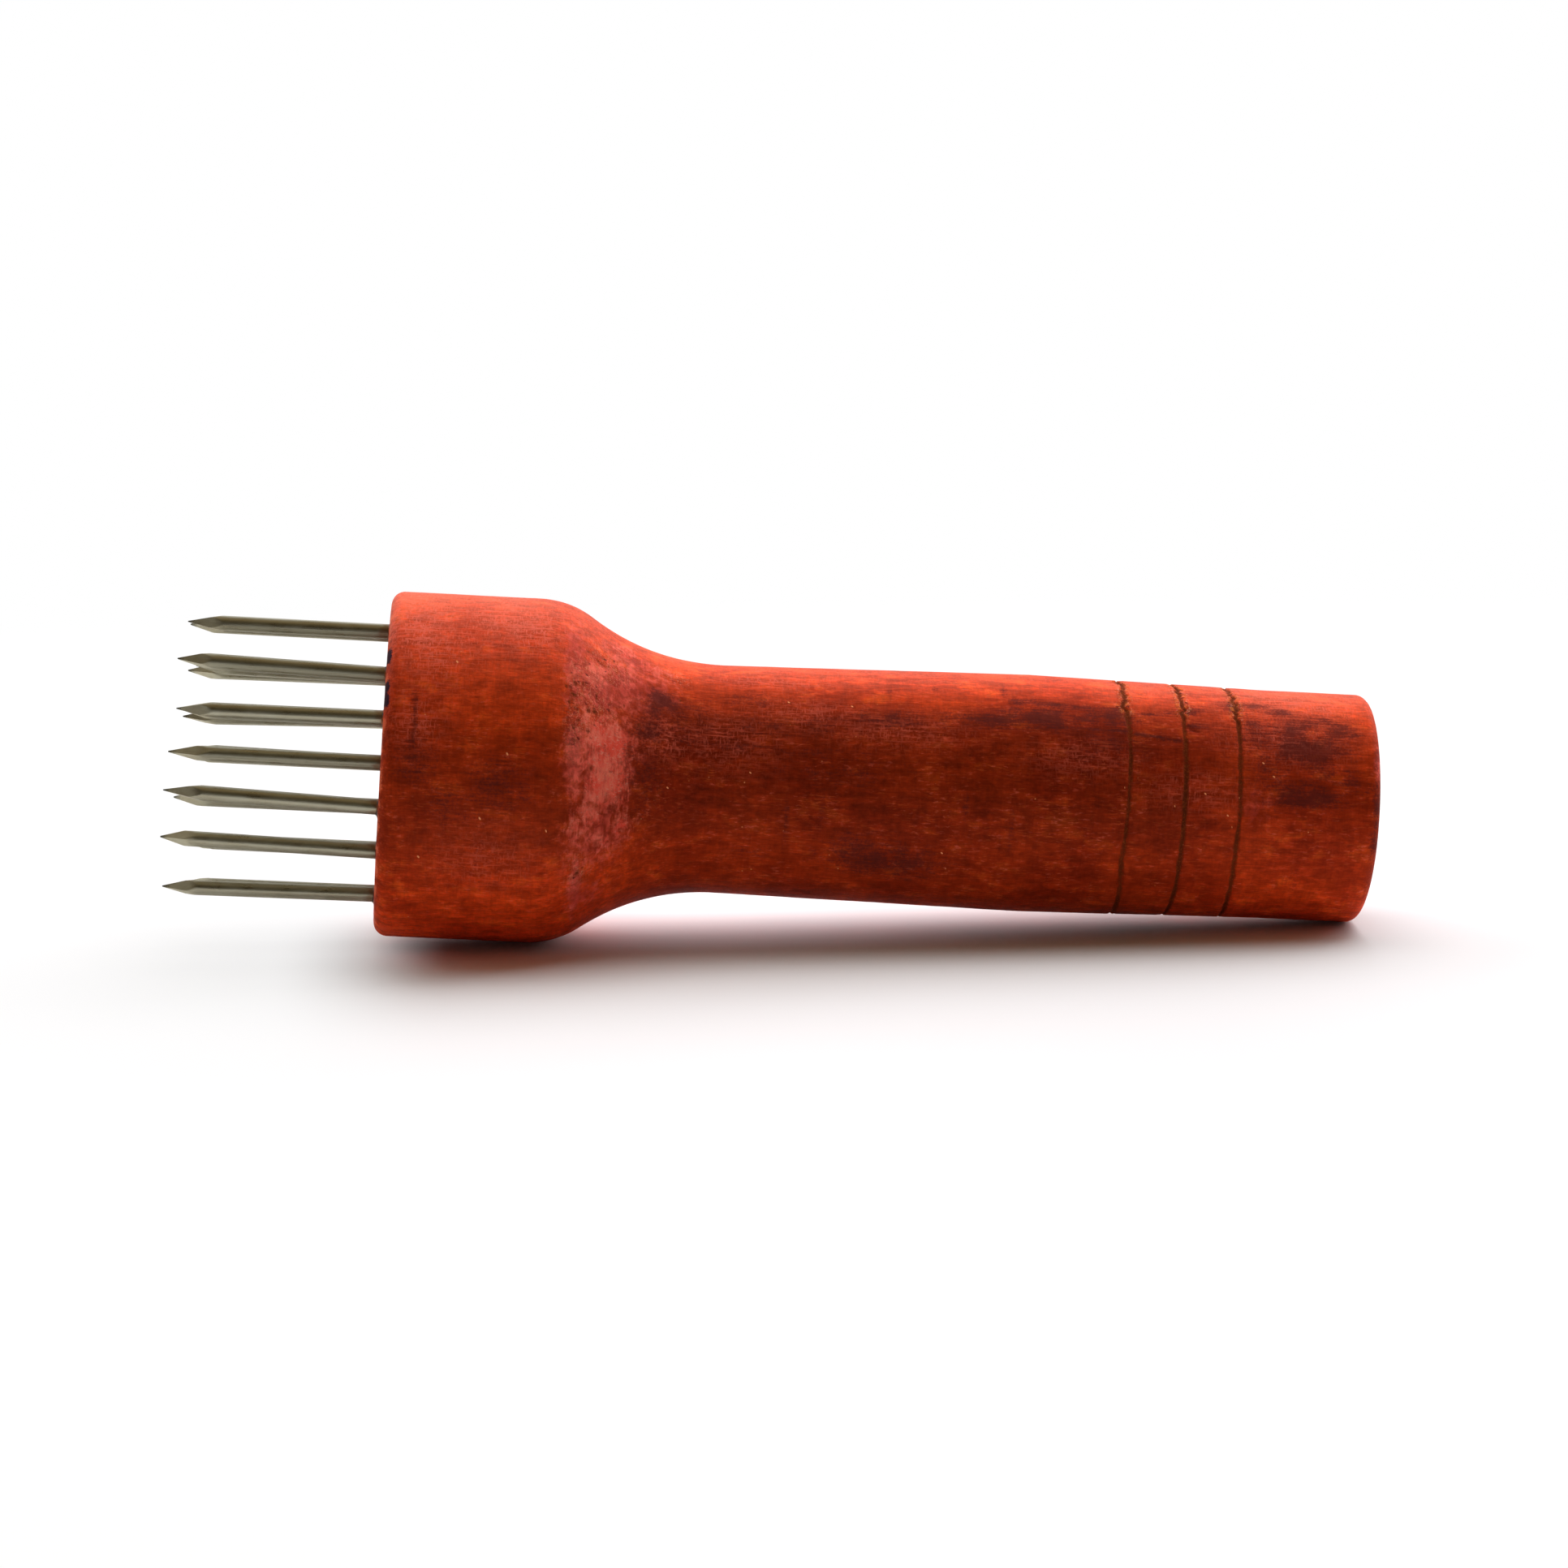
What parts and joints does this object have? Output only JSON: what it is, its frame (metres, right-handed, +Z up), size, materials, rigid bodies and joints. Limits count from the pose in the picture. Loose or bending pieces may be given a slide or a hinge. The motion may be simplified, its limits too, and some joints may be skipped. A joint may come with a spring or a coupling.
{
  "type": "needle meat tenderizer",
  "caption": "Hand tool with pointed steel needles set in the end of a turned wooden handle, pressed into meat to pierce and tenderize it; lies on its side.",
  "frame": {"origin": "middle of the tool's outline as it lies, on the worktop", "axes": "+X from the needles to the butt along the tool, +Z up, -Y the side that ends up in front"},
  "size_m": [0.158, 0.045, 0.0461],
  "materials": {
    "stained_wood": "red-brown stained hardwood, turned and sanded, thin worn oil finish",
    "needle_steel": "drawn steel wire with slight tarnish and ground four-faced points"
  },
  "bodies": {
    "root": {"handle": "stained_wood", "needle_01": "needle_steel", "needle_02": "needle_steel", "needle_03": "needle_steel", "needle_04": "needle_steel", "needle_05": "needle_steel", "needle_06": "needle_steel", "needle_07": "needle_steel", "needle_08": "needle_steel", "needle_09": "needle_steel", "needle_10": "needle_steel", "needle_11": "needle_steel", "needle_12": "needle_steel", "needle_13": "needle_steel", "needle_14": "needle_steel", "needle_15": "needle_steel", "needle_16": "needle_steel", "needle_17": "needle_steel", "needle_18": "needle_steel", "needle_19": "needle_steel", "needle_20": "needle_steel", "needle_21": "needle_steel"}
  },
  "joints": []
}
